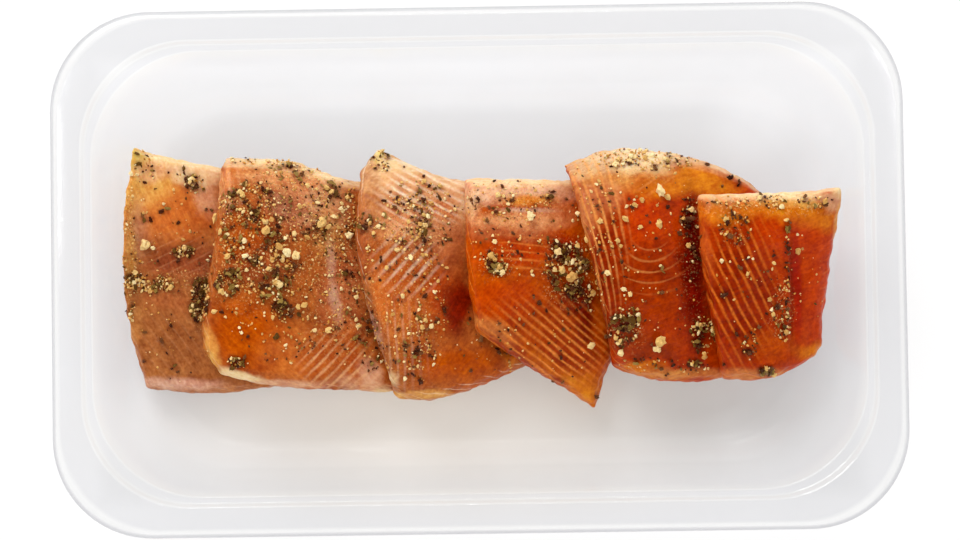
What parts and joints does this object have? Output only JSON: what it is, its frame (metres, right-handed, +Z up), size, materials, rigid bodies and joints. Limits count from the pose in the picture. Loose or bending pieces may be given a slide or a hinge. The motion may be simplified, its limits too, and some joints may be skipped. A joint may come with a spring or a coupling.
{
  "type": "pack of salmon fillet",
  "caption": "Open clear plastic food tray holding a row of raw salmon fillet slices, overlapping like roof tiles and seasoned with herbs, garlic and cracked pepper",
  "frame": {"origin": "the middle of the tray's underside, on the surface that the pack rests on", "axes": "+X along the row of slices, from the first slice to the last; +Y across the tray, to its back; +Z up"},
  "size_m": [0.23, 0.142, 0.036],
  "materials": {
    "clear_plastic": "clear, thermoformed, glossy",
    "salmon_flesh": "moist raw flesh, oily gloss"
  },
  "bodies": {
    "root": {"tray": "clear_plastic", "slice_1": "salmon_flesh", "slice_2": "salmon_flesh", "slice_3": "salmon_flesh", "slice_4": "salmon_flesh", "slice_5": "salmon_flesh", "slice_6": "salmon_flesh"}
  },
  "joints": []
}
